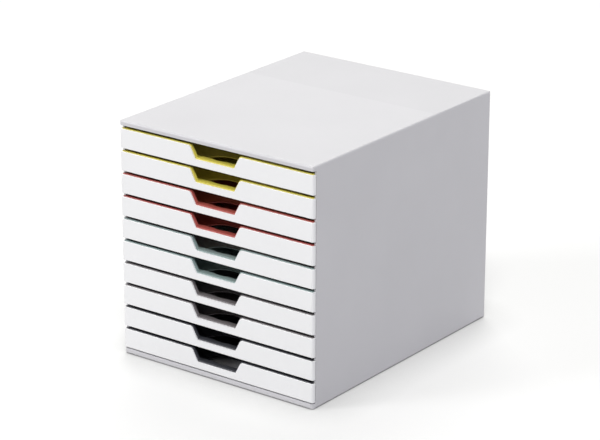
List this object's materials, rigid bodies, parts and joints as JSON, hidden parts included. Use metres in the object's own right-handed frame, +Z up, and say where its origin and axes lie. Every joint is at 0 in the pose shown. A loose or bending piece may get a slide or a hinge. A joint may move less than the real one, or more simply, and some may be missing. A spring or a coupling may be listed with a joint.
{
  "type": "drawer tower",
  "caption": "Desktop tower of shallow plastic drawers: light grey shell, white fronts with trapezoid grip notches and coloured trays that slide out on moulded rails.",
  "frame": {"origin": "centre of the tower's footprint, on the plane that its feet stand on", "axes": "+Z up, the drawer fronts face -Y, +X to the right of a viewer who faces the fronts"},
  "size_m": [0.28, 0.356, 0.292],
  "materials": {
    "casing": "light grey moulded polystyrene, fine matt grain",
    "white_front": "white moulded polystyrene, fine matt grain",
    "foot_rubber": "dark grey soft rubber",
    "tray_yellow": "yellow moulded polystyrene, semi-matt",
    "tray_red": "red moulded polystyrene, semi-matt",
    "tray_green_grey": "green grey moulded polystyrene, semi-matt",
    "tray_taupe": "taupe moulded polystyrene, semi-matt",
    "tray_anthracite": "anthracite moulded polystyrene, semi-matt"
  },
  "bodies": {
    "casing": {"casing_shell": "casing", "back_panel": "casing", "base_panel": "casing", "foot_front_left": "foot_rubber", "foot_front_right": "foot_rubber", "foot_rear_left": "foot_rubber", "foot_rear_right": "foot_rubber"},
    "drawer_01": {"drawer_tray_01": "tray_yellow", "drawer_front_01": "white_front"},
    "drawer_02": {"drawer_tray_02": "tray_yellow", "drawer_front_02": "white_front"},
    "drawer_03": {"drawer_tray_03": "tray_red", "drawer_front_03": "white_front"},
    "drawer_04": {"drawer_tray_04": "tray_red", "drawer_front_04": "white_front"},
    "drawer_05": {"drawer_tray_05": "tray_green_grey", "drawer_front_05": "white_front"},
    "drawer_06": {"drawer_tray_06": "tray_green_grey", "drawer_front_06": "white_front"},
    "drawer_07": {"drawer_tray_07": "tray_taupe", "drawer_front_07": "white_front"},
    "drawer_08": {"drawer_tray_08": "tray_taupe", "drawer_front_08": "white_front"},
    "drawer_09": {"drawer_tray_09": "tray_anthracite", "drawer_front_09": "white_front"},
    "drawer_10": {"drawer_tray_10": "tray_anthracite", "drawer_front_10": "white_front"}
  },
  "joints": [
    {"name": "drawer_01_slide", "type": "slide", "parent": "casing", "child": "drawer_01", "axis": [0, -1, 0], "range_m": [0, 0.24]},
    {"name": "drawer_02_slide", "type": "slide", "parent": "casing", "child": "drawer_02", "axis": [0, -1, 0], "range_m": [0, 0.24]},
    {"name": "drawer_03_slide", "type": "slide", "parent": "casing", "child": "drawer_03", "axis": [0, -1, 0], "range_m": [0, 0.24]},
    {"name": "drawer_04_slide", "type": "slide", "parent": "casing", "child": "drawer_04", "axis": [0, -1, 0], "range_m": [0, 0.24]},
    {"name": "drawer_05_slide", "type": "slide", "parent": "casing", "child": "drawer_05", "axis": [0, -1, 0], "range_m": [0, 0.24]},
    {"name": "drawer_06_slide", "type": "slide", "parent": "casing", "child": "drawer_06", "axis": [0, -1, 0], "range_m": [0, 0.24]},
    {"name": "drawer_07_slide", "type": "slide", "parent": "casing", "child": "drawer_07", "axis": [0, -1, 0], "range_m": [0, 0.24]},
    {"name": "drawer_08_slide", "type": "slide", "parent": "casing", "child": "drawer_08", "axis": [0, -1, 0], "range_m": [0, 0.24]},
    {"name": "drawer_09_slide", "type": "slide", "parent": "casing", "child": "drawer_09", "axis": [0, -1, 0], "range_m": [0, 0.24]},
    {"name": "drawer_10_slide", "type": "slide", "parent": "casing", "child": "drawer_10", "axis": [0, -1, 0], "range_m": [0, 0.24]}
  ]
}
